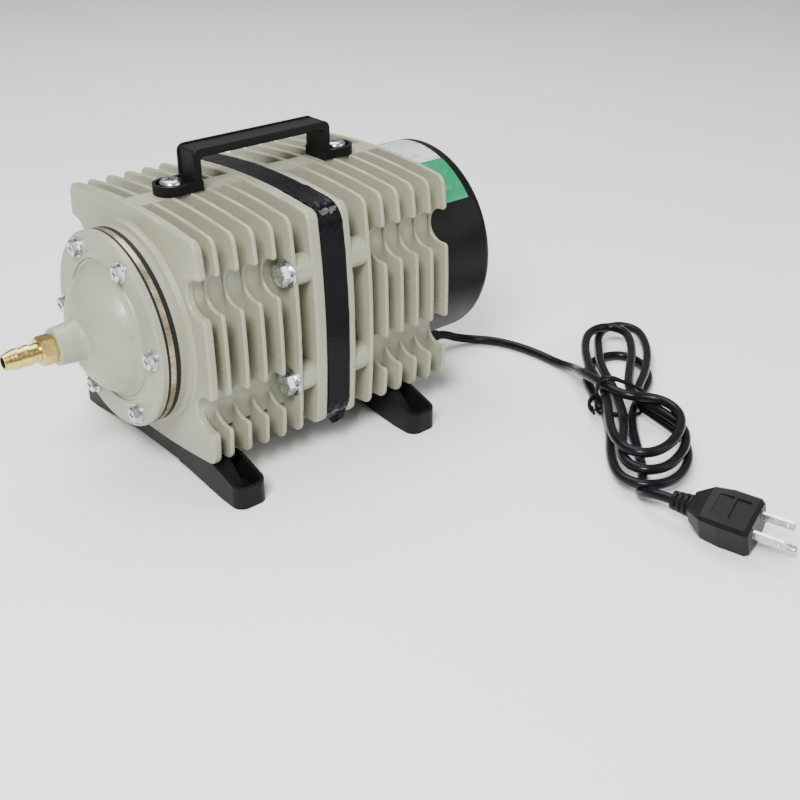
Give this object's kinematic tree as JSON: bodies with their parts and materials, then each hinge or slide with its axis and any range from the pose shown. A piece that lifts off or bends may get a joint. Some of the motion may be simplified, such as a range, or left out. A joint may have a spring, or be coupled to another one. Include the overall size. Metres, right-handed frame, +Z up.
{
  "type": "air pump",
  "caption": "Electromagnetic piston air pump with a finned square housing, domed outlet head, carrying handle, two cross feet and a mains cord with plug.",
  "frame": {"origin": "on the floor under the middle of the pump, between the outlet's tip and the rear cap's face", "axes": "+X along the pump axis from the brass outlet to the rear cap, +Z up"},
  "size_m": [0.4199, 0.4066, 0.1795],
  "materials": {
    "grey_paint": "satin paint over cast aluminium",
    "black_plastic": "moulded, lightly grained",
    "cap_plastic": "moulded, lightly grained",
    "zinc_steel": "bright zinc plating",
    "yellow_zinc": "yellow passivated zinc",
    "brass": "turned",
    "bronze": "sintered bronze",
    "black_rubber": "matt",
    "valve_rubber": "matt",
    "tape": "smooth adhesive tape",
    "bare_aluminium": "machined",
    "steel": "ground",
    "lamination_steel": "stacked sheet",
    "spring_steel": "drawn wire",
    "copper_enamel": "enamelled wire",
    "nylon": "moulded",
    "ptfe": "bronze-filled PTFE",
    "felt": "needled felt",
    "silver_label": "printed foil",
    "green_label": "printed foil",
    "pvc": "flexible PVC",
    "plug_pvc": "moulded PVC",
    "tie": "coated wire",
    "plated_brass": "nickel plating",
    "lead_wire": "insulated wire",
    "epoxy": "moulded"
  },
  "bodies": {
    "pump": {"front_housing": "grey_paint", "rear_housing": "grey_paint", "head_cover": "grey_paint", "outlet_barb": "brass", "head_screws": "zinc_steel", "head_washers": "zinc_steel", "head_gasket": "black_rubber", "valve_plate": "yellow_zinc", "cylinder_gasket": "black_rubber", "discharge_guard": "bare_aluminium", "discharge_guard_screw": "zinc_steel", "cylinder_liner": "bare_aluminium", "rear_bush": "bronze", "spring_seat": "nylon", "return_spring": "spring_steel", "stator_core": "lamination_steel", "coil_bobbins": "nylon", "coil_windings": "copper_enamel", "stator_tape": "tape", "housing_bolts": "zinc_steel", "bolt_spring_washers": "zinc_steel", "bolt_flat_washers": "zinc_steel", "front_foot": "black_plastic", "rear_foot": "black_plastic", "foot_screws": "zinc_steel", "handle": "black_plastic", "handle_screws": "zinc_steel", "rear_cap": "cap_plastic", "rear_cap_screws": "zinc_steel", "air_filter": "felt", "filter_screen": "nylon", "terminal_block": "nylon", "terminal_screws": "yellow_zinc", "rectifier": "epoxy", "earth_screw": "yellow_zinc", "internal_leads": "lead_wire", "rating_label": "silver_label", "green_label": "green_label", "cord_gland": "black_rubber", "power_cord": "pvc", "cord_hank": "pvc", "cord_tie": "tie", "cord_tail": "pvc", "plug_body": "plug_pvc", "plug_blades": "plated_brass", "ground_pin": "plated_brass"},
    "piston": {"piston": "bare_aluminium", "piston_ring": "ptfe", "piston_rod": "steel", "armature_core": "lamination_steel", "rod_nuts": "zinc_steel", "intake_guard": "bare_aluminium", "intake_guard_screw": "zinc_steel"},
    "discharge_disc": {"discharge_valve": "valve_rubber"},
    "intake_disc": {"intake_valve": "valve_rubber"}
  },
  "joints": [
    {"name": "piston_slide", "type": "slide", "parent": "pump", "child": "piston", "axis": [1, 0, 0], "range_m": [-0.006, 0.008], "stiffness_N_per_m": 5100, "deforming": ["return_spring"]},
    {"name": "discharge_valve_lift", "type": "slide", "parent": "pump", "child": "discharge_disc", "axis": [-1, 0, 0], "range_m": [0, 0.0011], "stiffness_N_per_m": 20},
    {"name": "intake_valve_lift", "type": "slide", "parent": "piston", "child": "intake_disc", "axis": [-1, 0, 0], "range_m": [0, 0.0011], "stiffness_N_per_m": 20}
  ]
}
